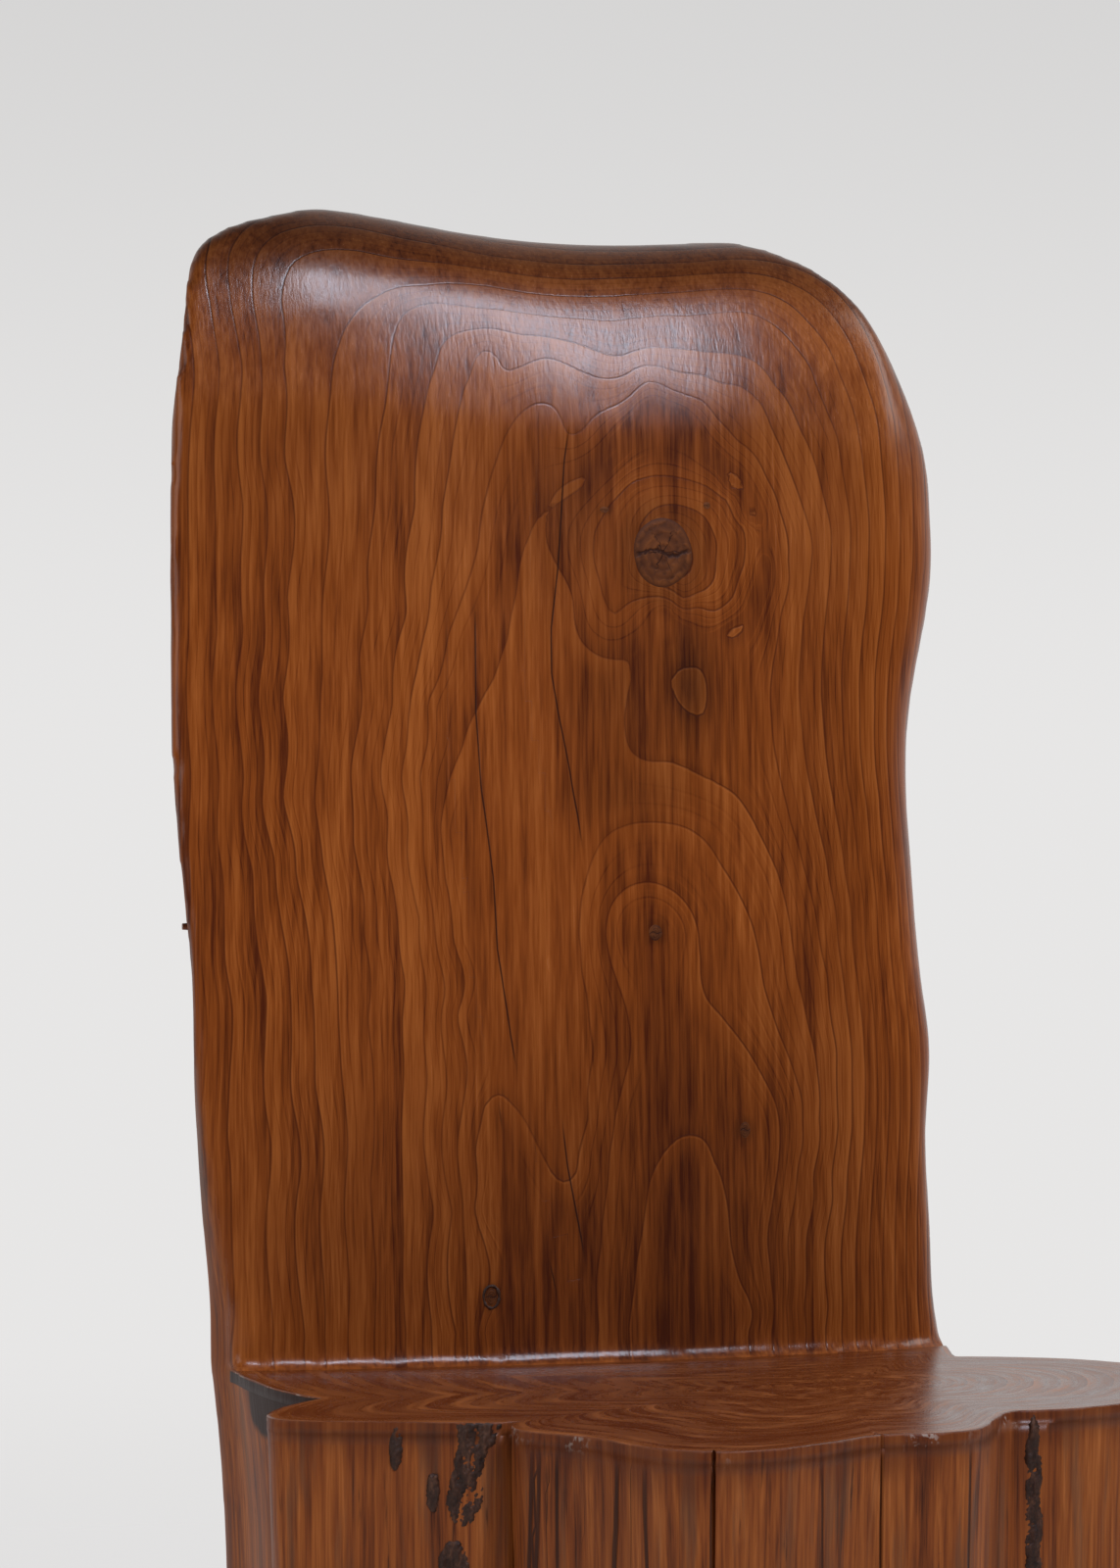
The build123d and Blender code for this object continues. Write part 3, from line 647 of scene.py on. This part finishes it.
def make_seat(material):
    """The front stem as one sawn block, whose top runs back over the rear stem's ledge."""
    angles = block_angles(block_corners())
    count = len(angles)
    way = np.c_[np.cos(angles), np.sin(angles)]
    cap = seat_reach(angles, way)
    walls, rim, top = seat_rows(angles, way, cap)
    rows = [*walls, *rim, *top]
    points = np.vstack(rows + [[(*BLOCK_AXIS, SEAT_Z)], [(*BLOCK_AXIS, 0.0)]])
    upper, lower = len(points) - 2, len(points) - 1
    faces = strip_faces(len(rows), count)
    faces += fan_faces((len(rows) - 1) * count, count, upper)
    faces += fan_faces(0, count, lower, flip=True)
    mesh = mesh_of("seat", points.tolist(), faces)

    normals = normals_of(mesh)
    steep = 1 - smoothstep(0.2, 0.6, np.abs(normals[:, 2]))
    front = smoothstep(0.02, -0.02, points[:, 1]) * steep
    relief = 0.28 * waves(points, 0.010, 5, (1, 1, 14)) + 0.35 * waves(points, 0.03, 6, (1, 1, 7))
    points[:, :2] += normals[:, :2] * (relief * MM * front)[:, None]
    set_points(mesh, points)

    outline = seat_row(way, cap, SEAT_Z)
    notch = smoothstep(-0.19, -0.21, outline[:, 0]) * smoothstep(-0.055, -0.035, outline[:, 1])
    notch = np.r_[np.tile(notch, len(rows)), 0.0, 0.0]
    below = SEAT_Z - points[:, 2]
    checks, openness = check_offsets(points, BLOCK_CHECKS_MM, 0.0)
    give(mesh, check=checks, check_open=openness * front, sawn=smoothstep(0.35, 0.85, normals[:, 2]),
         barky=notch * (below > 1.2 * MM) * (1 - smoothstep(0.025, 0.055, below)))
    give_seat_rings(mesh, points, rim[-1])
    return add_piece("seat", mesh, ("seat_block",), material)


def circle_of(count):
    turns = np.linspace(0.0, 2 * math.pi, count, endpoint=False)
    return np.c_[np.cos(turns), np.sin(turns), np.zeros(count)]


def knot_cap(tree, middle, half, dome, seed):
    """Closed cap over one plug: a domed front with an uneven rim, and a point inside the wood."""
    spokes, rings = 80, 16
    points, spots = [], []
    circle = circle_of(spokes)
    uneven = 1.0 + 0.035 * waves(circle, 1.3, seed)
    for share in np.linspace(1.0, 1.0 / rings, rings):
        for (side, up, _), swell in zip(circle, uneven):
            x = middle[0] + half[0] * share * side * swell
            z = middle[1] + half[1] * share * up * swell
            rise = dome * (1 - share**6) - KNOT_SINK
            points.append((x, face_point(tree, x, z).y - rise, z))
            spots.append((share * side, share * up))
    depth = face_point(tree, *middle).y
    points.append((middle[0], depth - dome + KNOT_SINK, middle[1]))
    points.append((middle[0], depth + 4 * MM, middle[1]))
    spots += [(0.0, 0.0), (0.0, 0.0)]
    faces = strip_faces(rings, spokes)
    faces += fan_faces((rings - 1) * spokes, spokes, len(points) - 2)
    faces += fan_faces(0, spokes, len(points) - 1, flip=True)
    return points, spots, faces


def make_knot(node, tree, fit, dome, material):
    """The face of a knot, a little proud of the wood round it, for each plug of a node."""
    points, spots, faces = [], [], []
    for number, (middle, half) in enumerate(plugs_of(node, fit)):
        more_points, more_spots, more_faces = knot_cap(tree, middle, half, dome, 20 + number)
        start = len(points)
        points += more_points
        spots += more_spots
        faces += [tuple(start + k for k in face) for face in more_faces]
    mesh = mesh_of(node, points, faces)
    spots = np.array(spots)
    give(mesh, across=spots[:, 0], up=spots[:, 1])
    add_piece(node + "_face", mesh, (node,), material)


def make_knot_bark(tree, fit, material):
    """A lumpy ring of bark round the loose knot."""
    middle, half = plugs_of("loose_knot_bark", fit)[0]
    inner = plugs_of("loose_knot", fit)[0][1]
    spokes, sides = 96, 12
    circle = circle_of(spokes)
    lumps = 1.0 + 0.25 * waves(circle, 0.6, 31)
    radius, thick = (half + inner) / 2, (half - inner).mean() * 0.62
    points = []
    for (side, up, _), lump in zip(circle, lumps):
        for outward, forward, _ in circle_of(sides):
            out = radius + thick * lump * outward
            x, z = middle[0] + out[0] * side, middle[1] + out[1] * up
            points.append((x, face_point(tree, x, z).y - thick * lump * forward, z))
    mesh = mesh_of("knot_bark", points, strip_faces(spokes, sides, closed=True))
    add_piece("loose_knot_ring", mesh, ("loose_knot_bark",), material)


def make_bark(node, voxel, proud, lump, wavelength, material):
    """Old bark as a broken, lumpy crust, proud of its CAD node or sunk in it."""
    mesh = remeshed(joined((node,)), voxel)
    points, normals = points_of(mesh), normals_of(mesh)
    rough = waves(points, wavelength, 41, (1, 1, 2.2)) + 0.6 * waves(points, wavelength / 2.3, 42)
    rough += 0.35 * waves(points, wavelength / 4.5, 43)
    points += normals * (proud + lump * rough)[:, None]
    points[:, 2] = np.clip(points[:, 2], 0.0, SEAT_Z - 0.2 * MM)
    set_points(mesh, points)
    add_piece(node + "_crust", mesh, (node,), material)


# ================================================================ node helper
class Graph:
    """Adds shader nodes to a new material or world and links them."""

    def __init__(self, name, owners=bpy.data.materials):
        self.owner = owners.new(name)
        self.owner.use_nodes = True
        self.tree = self.owner.node_tree
        self.tree.nodes.clear()

    def node(self, kind, inputs=(), **settings):
        made = self.tree.nodes.new(kind)
        for key, value in settings.items():
            setattr(made, key, value)
        for key, value in dict(inputs).items():
            self.put(made.inputs[key], value)
        return made

    def put(self, socket, value):
        if isinstance(value, bpy.types.NodeSocket):
            self.tree.links.new(value, socket)
        else:
            socket.default_value = value

    def math(self, operation, *values):
        return self.node("ShaderNodeMath", enumerate(values), operation=operation).outputs[0]

    def times(self, *factors):
        total = factors[0]
        for factor in factors[1:]:
            total = self.math("MULTIPLY", total, factor)
        return total

    def add(self, *terms):
        """A sum of values, or of pairs of a value and its weight."""
        parts = [self.times(*term) if isinstance(term, tuple) else term for term in terms]
        total = parts[0]
        for part in parts[1:]:
            total = self.math("ADD", total, part)
        return total

    def rest(self, share):
        """What a share leaves of one."""
        return self.math("SUBTRACT", 1.0, share)

    def attribute(self, name):
        return self.node("ShaderNodeAttribute", attribute_name=name).outputs["Fac"]

    def place(self):
        return self.node("ShaderNodeTexCoord").outputs["Object"]

    def split(self, vector):
        return self.node("ShaderNodeSeparateXYZ", {"Vector": vector}).outputs

    def noise(self, place, stretch=None, detail=2.0, roughness=0.5, distortion=0.0):
        """Noise from about -0.5 to 0.5. Stretch is about how many waves it has per metre."""
        if stretch:
            scaled = self.node("ShaderNodeVectorMath", {0: place, 1: stretch}, operation="MULTIPLY")
            place = scaled.outputs[0]
        made = self.node("ShaderNodeTexNoise", {"Vector": place, "Scale": 1.0, "Detail": detail,
                                                "Roughness": roughness, "Distortion": distortion})
        return self.math("SUBTRACT", made.outputs["Fac"], 0.5)

    def step(self, value, low, high, out_low=0.0, out_high=1.0):
        """Smooth change from one output to another as the value goes from low to high."""
        made = self.node("ShaderNodeMapRange", {"Value": value, "From Min": low, "From Max": high,
                                                "To Min": out_low, "To Max": out_high},
                         interpolation_type="SMOOTHSTEP")
        return made.outputs["Result"]

    def fall(self, value, low, high):
        """One below low, nothing above high."""
        return self.step(value, low, high, 1.0, 0.0)

    def ramp(self, value, stops):
        made = self.node("ShaderNodeValToRGB", {"Fac": value})
        elements = made.color_ramp.elements
        while len(elements) < len(stops):
            elements.new(0.5)
        for element, (spot, colour) in zip(elements, stops):
            element.position = spot
            element.color = (*colour, 1.0)
        return made.outputs["Color"]

    def blend(self, share, a, b):
        """Colour a where the share is nothing, and b where it is one."""
        made = self.node("ShaderNodeMix", data_type="RGBA")
        for key, value in ((0, share), (6, a), (7, b)):
            self.put(made.inputs[key], (*value, 1.0) if isinstance(value, tuple) else value)
        return made.outputs[2]

    def shaded(self, colour, share):
        made = self.node("ShaderNodeVectorMath", {0: colour, "Scale": share}, operation="SCALE")
        return made.outputs[0]

    def finish(self, shader_inputs, height, strength, distance):
        """The surface with its bumps. The height counts in units of the distance, in metres."""
        bump = self.node("ShaderNodeBump", {"Height": height, "Strength": strength,
                                            "Distance": distance})
        shader_inputs = dict(shader_inputs, Normal=bump.outputs[0])
        shader = self.node("ShaderNodeBsdfPrincipled", shader_inputs)
        self.node("ShaderNodeOutputMaterial", {"Surface": shader.outputs[0]})
        return self.owner


# ================================================================ materials
def fibre(graph, place):
    """Long upright streaks of the wood, coarse and fine."""
    coarse = graph.noise(place, (90.0, 90.0, 3.0), detail=3.0)
    fine = graph.noise(place, (420.0, 420.0, 9.0), detail=3.0, roughness=0.6)
    return coarse, fine


def natural_skin(graph, place):
    """Debarked outside of the trunk: colour and height."""
    coarse, fine = fibre(graph, place)
    wide = graph.noise(place, (30.0, 30.0, 1.8), detail=4.0)
    grey = graph.noise(place, (70.0, 70.0, 6.0), detail=4.0, roughness=0.65)
    smear = graph.noise(place, (100.0, 100.0, 8.0), detail=4.0, roughness=0.7)
    tone = graph.add(0.5, (coarse, 0.72), (fine, 0.92), (wide, 0.74))
    colour = graph.ramp(tone, SKIN_TONES)
    colour = graph.blend(graph.step(grey, 0.00, 0.18, 0.0, 0.55), colour, GREYED)
    colour = graph.blend(graph.step(smear, 0.10, 0.20, 0.0, 0.75), colour, INK)
    return colour, graph.add((coarse, 0.6), (fine, 0.7), (wide, 0.5))


def ring_pattern(graph, place, wobble_mm):
    """Distance in mm past a ring edge and short of the next, a tone for each ring, its number."""
    rings, pace = graph.attribute("rings"), graph.attribute("pace")
    broad = graph.noise(place, (26.0, 26.0, 10.0))
    narrow = graph.noise(place, (160.0, 160.0, 40.0))
    shift = graph.times(graph.add((broad, wobble_mm), (narrow, wobble_mm * 0.35)), MM)
    number = graph.add(rings, (shift, pace))
    part = graph.math("FRACT", number)
    width = graph.times(graph.math("DIVIDE", 1.0, graph.math("MAXIMUM", pace, 2.0)), 1000.0)
    whole = graph.math("FLOOR", number)
    tone = graph.node("ShaderNodeTexWhiteNoise", {"W": whole}, noise_dimensions="1D")
    tone = graph.math("SUBTRACT", tone.outputs["Value"], 0.5)
    return graph.times(part, width), graph.times(graph.rest(part), width), tone, number


def check_line(graph, wander, low, high):
    """One along the drying checks, which wander a little."""
    away = graph.math("ABSOLUTE", graph.add(graph.attribute("check"), (wander, 2.0)))
    return graph.times(graph.fall(away, low, high), graph.attribute("check_open"))


def barky_share(graph, wander):
    """One where bark is left on the skin, with a ragged edge."""
    return graph.step(graph.add(graph.attribute("barky"), (wander, 0.6)), 0.25, 0.55)


def stem_material():
    """Carved and polished face with its growth rings, and the trunk's own skin beside it."""
    graph = Graph("stem_wood_carved")
    place = graph.place()
    stain, carved = graph.attribute("stain"), graph.attribute("carved")
    coarse, fine = fibre(graph, place)
    after, before, tone, number = ring_pattern(graph, place, 1.4)
    blotch = graph.noise(place, (6.0, 6.0, 3.0), detail=4.0, roughness=0.6)
    streak = graph.noise(place, (200.0, 200.0, 2.2))
    patchy = graph.step(graph.noise(place, (24.0, 24.0, 5.0)), -0.12, 0.12)

    # Lesser lines and threads between the ring edges, where the rings crowd together.
    crowded = graph.step(graph.attribute("pace"), 18.0, 42.0)
    third = graph.math("FRACT", graph.times(number, 3.0))
    minor = graph.fall(graph.math("MINIMUM", third, graph.rest(third)), 0.02, 0.10)
    fifth = graph.math("FRACT", graph.times(number, 5.0))
    thread = graph.times(graph.fall(fifth, 0.05, 0.30), patchy)

    # A dark line at each ring edge, with paler wood on one side and darker on the other.
    paler = graph.fall(before, 0.0, 20.0)
    darker = graph.fall(after, 0.0, 9.0)
    glint = graph.times(graph.fall(before, 0.7, 2.4), patchy)
    edge = graph.fall(graph.math("MINIMUM", after, before), 0.20, 1.05)
    edge = graph.times(edge, graph.add(0.50, (patchy, 0.50)))
    level = graph.add(0.485, (coarse, 0.50), (fine, 0.74), (blotch, 0.72), (streak, 0.36),
                      (tone, 0.12), (paler, 0.10), (darker, -0.06), (glint, 0.15),
                      (minor, crowded, -0.11), (thread, crowded, 0.10))
    colour = graph.ramp(level, [(0.20, DARK), (0.50, MID), (0.80, LIGHT)])
    colour = graph.blend(graph.times(edge, graph.step(stain, 0.35, 0.80, 0.95, 0.72)), colour, DARK)
    check = check_line(graph, coarse, 0.25, 0.8)
    colour = graph.blend(graph.times(check, 0.85), colour, INK)

    skin, skin_height = natural_skin(graph, place)
    skin = graph.blend(barky_share(graph, coarse), skin, INK)
    # Painted shade and darker stain from stain darken the carved face.
    colour = graph.blend(carved, skin, graph.shaded(colour, stain))
    height = graph.add((fine, 0.8), (coarse, 0.25), (edge, -0.30), (check, -2.0))
    height = graph.add((height, carved), (skin_height, 1.6, graph.rest(carved)))
    gloss = graph.add(0.52, (carved, -0.28), (fine, 0.14), (blotch, 0.10))
    shine = graph.add(0.16, (carved, 0.17))
    return graph.finish({"Base Color": colour, "Roughness": gloss, "Specular IOR Level": shine},
                        height, 0.45, 0.4 * MM)


def seat_material():
    """Sawn end grain on top, and the trunk's own skin with its checks and bark on the sides."""
    graph = Graph("seat_wood_sawn")
    place = graph.place()
    sawn = graph.attribute("sawn")
    after, before, tone, number = ring_pattern(graph, place, 3.0)
    grit = graph.noise(place, (700.0, 700.0, 700.0))
    blotch = graph.noise(place, (9.0, 9.0, 9.0), detail=3.0)
    turned = graph.node("ShaderNodeCombineXYZ", {"X": number, "Y": graph.attribute("turn_x"),
                                                 "Z": graph.attribute("turn_y")})
    sweep = graph.noise(turned.outputs[0], (1.1, 4.0, 4.0), detail=5.0, roughness=0.72)
    level = graph.add(0.43, (grit, 0.30), (blotch, 0.36), (tone, 0.24), (sweep, 1.9),
                      graph.step(before, 0.0, 3.0, -0.25, 0.0),
                      graph.step(after, 0.0, 3.0, 0.12, 0.0))
    top = graph.ramp(level, SAWN_TONES)

    skin, skin_height = natural_skin(graph, place)
    wander = graph.noise(place, (60.0, 60.0, 12.0))
    check = check_line(graph, wander, 0.45, 1.2)
    skin = graph.blend(graph.times(check, 0.85), skin, INK)
    _, _, up = graph.split(place)
    under = graph.step(graph.add(up, (wander, 0.05)), SEAT_Z - 0.030, SEAT_Z - 0.004)
    skin = graph.blend(graph.times(under, 0.55), skin, DARK)
    rim = graph.step(up, SEAT_Z - 0.012, SEAT_Z - 0.003)
    patches = graph.step(graph.noise(place, (22.0, 22.0, 6.0)), 0.02, 0.12)
    specks = graph.step(graph.noise(place, (330.0, 330.0, 240.0), detail=3.0), 0.03, 0.13)
    skin = graph.blend(graph.times(rim, patches, specks, 0.60), skin, PALE)
    skin = graph.blend(barky_share(graph, wander), skin, INK)

    colour = graph.blend(sawn, skin, top)
    skin_height = graph.add((skin_height, 2.4), (check, -2.5))
    top_height = graph.add((grit, 0.4), (sweep, 0.5))
    height = graph.add((skin_height, graph.rest(sawn)), (top_height, sawn))
    gloss = graph.add(0.50, (sawn, -0.22), (grit, 0.10), (blotch, 0.12), (sweep, sawn, 0.45))
    shine = graph.add(0.20, (sawn, 0.32))
    return graph.finish({"Base Color": colour, "Roughness": gloss, "Specular IOR Level": shine},
                        height, 0.45, 0.5 * MM)


def knot_material():
    """End grain of a branch: dark rings, star checks and one wavy crack across."""
    graph = Graph("knot_wood_dark")
    across, up = graph.attribute("across"), graph.attribute("up")
    reach = graph.math("SQRT", graph.add((across, across), (up, up)))
    bearing = graph.math("ARCTAN2", up, across)
    swirl = graph.noise(graph.place(), (130.0, 130.0, 130.0), detail=4.0, distortion=0.8)
    rings = graph.math("SINE", graph.add((reach, 24.0), (swirl, 9.0)))
    star = graph.math("SINE", graph.add((bearing, 3.0), (swirl, 4.0)))
    star = graph.times(graph.math("ABSOLUTE", star), reach)
    star = graph.times(graph.fall(star, 0.015, 0.06), graph.fall(reach, 0.45, 0.85))
    bend = graph.math("SINE", graph.times(across, 5.0))
    crack = graph.math("ABSOLUTE", graph.add(up, (bend, 0.10), (swirl, 0.3)))
    crack = graph.times(graph.fall(crack, 0.02, 0.07), graph.fall(reach, 0.7, 1.0))
    gap = graph.math("MAXIMUM", star, crack)
    level = graph.add(0.5, (swirl, 0.7), (rings, 0.05), graph.step(reach, 0.8, 1.0, 0.0, -0.15))
    colour = graph.ramp(level, [(0.25, INK), (0.50, (0.092, 0.026, 0.007)),
                                (0.80, (0.19, 0.055, 0.012))])
    colour = graph.blend(graph.times(gap, 0.9), colour, INK)
    height = graph.add(swirl, (gap, -1.5), (rings, 0.15))
    return graph.finish({"Base Color": colour, "Roughness": 0.50, "Specular IOR Level": 0.10},
                        height, 0.5, 0.6 * MM)


def nub_material():
    """Dark branch wood of the CAD nodes that are seen as they are."""
    graph = Graph("knot_wood_nub")
    swirl = graph.noise(graph.place(), (140.0, 140.0, 140.0), detail=4.0)
    colour = graph.ramp(graph.add(0.5, swirl), [(0.25, INK), (0.50, (0.10, 0.028, 0.008)), (0.80, MID)])
    return graph.finish({"Base Color": colour, "Roughness": 0.4}, swirl, 0.5, 0.6 * MM)


def bark_material():
    """Nearly black, glossy old bark, browner low down at the far left."""
    graph = Graph("old_bark_glossy")
    place = graph.place()
    lumps = graph.noise(place, (230.0, 230.0, 90.0), detail=6.0, roughness=0.75)
    x, _, up = graph.split(place)
    groove = graph.times(graph.fall(x, -0.225, -0.215), graph.fall(up, 0.335, 0.385))
    colour = graph.ramp(graph.add(0.5, lumps), BARK_TONES)
    colour = graph.blend(graph.times(groove, 0.8), colour, (0.085, 0.026, 0.008))
    return graph.finish({"Base Color": colour, "Roughness": 0.46, "Specular IOR Level": 0.26},
                        lumps, 0.9, 1.2 * MM)


# ================================================================ studio
def add_light(name, azimuth, elevation, distance, size, power, tint):
    """Soft rectangle that shines on the back. Azimuth 0 is in front, at -y, and 90 is at +x."""
    turn, tilt = math.radians(azimuth), math.radians(elevation)
    way = Vector((math.cos(tilt) * math.sin(turn), -math.cos(tilt) * math.cos(turn), math.sin(tilt)))
    lamp = bpy.data.lights.new(name, "AREA")
    lamp.shape = "RECTANGLE"
    lamp.size, lamp.size_y = size
    lamp.energy = power
    lamp.color = tint
    holder = bpy.data.objects.new(name, lamp)
    holder.location = Vector(LIGHT_AIM) + way * distance
    holder.rotation_euler = (-way).to_track_quat("-Z", "Y").to_euler()
    bpy.context.scene.collection.objects.link(holder)


def add_camera():
    """Level camera on the circle round the aim point."""
    lens = bpy.data.cameras.new("camera")
    lens.lens = LENS_MM
    lens.sensor_width = SENSOR_MM
    holder = bpy.data.objects.new("camera", lens)
    side, forward = -math.sin(VIEW_AZIMUTH), math.cos(VIEW_AZIMUTH)
    holder.location = (VIEW_AIM[0] - side * VIEW_DISTANCE, VIEW_AIM[1] - forward * VIEW_DISTANCE,
                       VIEW_HEIGHT)
    holder.rotation_euler = (math.pi / 2, 0.0, VIEW_AZIMUTH)
    bpy.context.scene.collection.objects.link(holder)
    bpy.context.scene.camera = holder


def add_floor():
    """A pale round floor that fades into the pale surroundings, so no edge shows."""
    bpy.ops.mesh.primitive_circle_add(vertices=96, radius=FLOOR_RADIUS, fill_type="NGON")
    floor = bpy.context.object
    floor.name = "floor"
    graph = Graph("pale_floor")
    x, y, _ = graph.split(graph.place())
    away = graph.math("SQRT", graph.add((x, x), (y, y)))
    solid = graph.fall(away, *FLOOR_FADE)
    paint = graph.node("ShaderNodeBsdfDiffuse", {"Color": FLOOR_PAINT})
    glow = graph.node("ShaderNodeEmission", {"Color": FLOOR_PAINT})
    lit = graph.node("ShaderNodeMixShader", {0: 0.85, 1: paint.outputs[0], 2: glow.outputs[0]})
    clear = graph.node("ShaderNodeBsdfTransparent")
    mixed = graph.node("ShaderNodeMixShader", {0: solid, 1: clear.outputs[0], 2: lit.outputs[0]})
    graph.node("ShaderNodeOutputMaterial", {"Surface": mixed.outputs[0]})
    floor.data.materials.append(graph.owner)


def add_surroundings():
    """Pale grey all round, a little darker overhead; it lights the chair mostly from behind."""
    graph = Graph("studio", bpy.data.worlds)
    _, y, z = graph.split(graph.node("ShaderNodeTexCoord").outputs["Generated"])
    seen = graph.step(z, 0.0, 0.22, 0.80, 0.66)
    glow = graph.step(y, -0.2, 0.7, 0.10, 0.75)
    in_view = graph.node("ShaderNodeLightPath").outputs["Is Camera Ray"]
    strength = graph.node("ShaderNodeMix", {0: in_view, 2: glow, 3: seen}).outputs[0]
    sky = graph.node("ShaderNodeBackground", {"Color": SKY_TINT, "Strength": strength})
    graph.node("ShaderNodeOutputWorld", {"Surface": sky.outputs[0]})
    bpy.context.scene.world = graph.owner


def main():
    back, fit = make_back(stem_material())
    make_seat(seat_material())
    surface = tree_of(back.data)
    knot, bark = knot_material(), bark_material()
    for node, dome in FACE_KNOTS.items():
        make_knot(node, surface, fit, dome, knot)
    make_knot_bark(surface, fit, bark)
    for nodes, crust in CRUSTS:
        for node in nodes:
            make_bark(node, *crust, bark)
    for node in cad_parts.values():
        if not node.hide_render:
            node.data.materials.clear()
            node.data.materials.append(nub_material())
    add_floor()
    add_surroundings()
    for light in LIGHTS:
        add_light(*light)
    add_camera()
    bpy.context.scene.view_settings.view_transform = "Standard"


main()
